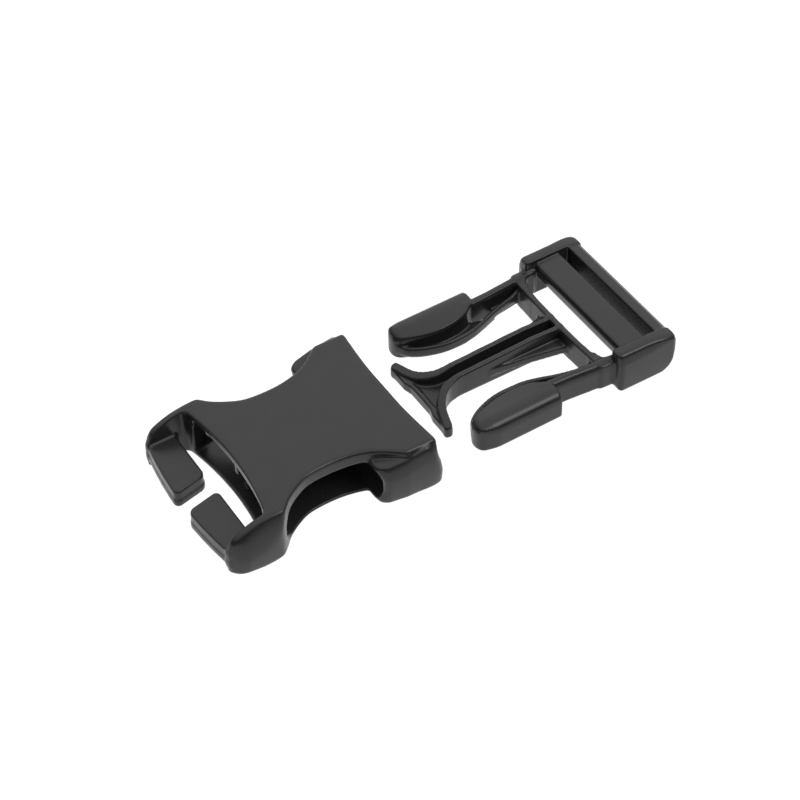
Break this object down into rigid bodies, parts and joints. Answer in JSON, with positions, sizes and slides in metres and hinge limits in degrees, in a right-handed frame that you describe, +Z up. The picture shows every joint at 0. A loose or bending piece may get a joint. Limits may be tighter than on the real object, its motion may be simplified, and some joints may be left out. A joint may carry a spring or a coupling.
{
  "type": "side release buckle",
  "caption": "Side release buckle for webbing: a waisted hollow socket with a split web bar, and a plug with sprung side arms, a centre guide and an adjuster frame.",
  "frame": {"origin": "on the surface that both halves lie on, under the middle of the unmated pair", "axes": "+X along the buckle from the socket's web end to the plug's web end, +Y to the left of that, +Z up from the surface"},
  "size_m": [0.0899, 0.0334, 0.0097],
  "materials": {
    "black_acetal": "satin moulded black plastic with a fine spark-eroded texture on the outer faces"
  },
  "bodies": {
    "socket": {"socket_housing": "black_acetal", "socket_left_hook": "black_acetal", "socket_right_hook": "black_acetal"},
    "plug": {"plug_frame": "black_acetal", "plug_centre_guide": "black_acetal"},
    "left_arm": {"plug_left_latch_arm": "black_acetal"},
    "right_arm": {"plug_right_latch_arm": "black_acetal"}
  },
  "joints": [
    {"name": "plug_insertion", "type": "slide", "parent": "socket", "child": "plug", "axis": [-1, 0, 0], "range_m": [0, 0.0357], "deforming": ["plug_left_latch_arm", "plug_right_latch_arm"]},
    {"name": "left_squeeze", "type": "hinge", "parent": "plug", "child": "left_arm", "pos_m": [0.0286, 0.0117, 0.0038], "axis": [0, 0, 1], "range_deg": [0, 10], "stiffness_Nm_per_rad": 0.6},
    {"name": "right_squeeze", "type": "hinge", "parent": "plug", "child": "right_arm", "pos_m": [0.0286, -0.0117, 0.0038], "axis": [0, 0, -1], "range_deg": [0, 10], "stiffness_Nm_per_rad": 0.6}
  ],
  "couplings": [
    {"joint": "right_squeeze", "follows": "left_squeeze", "ratio": 1}
  ]
}
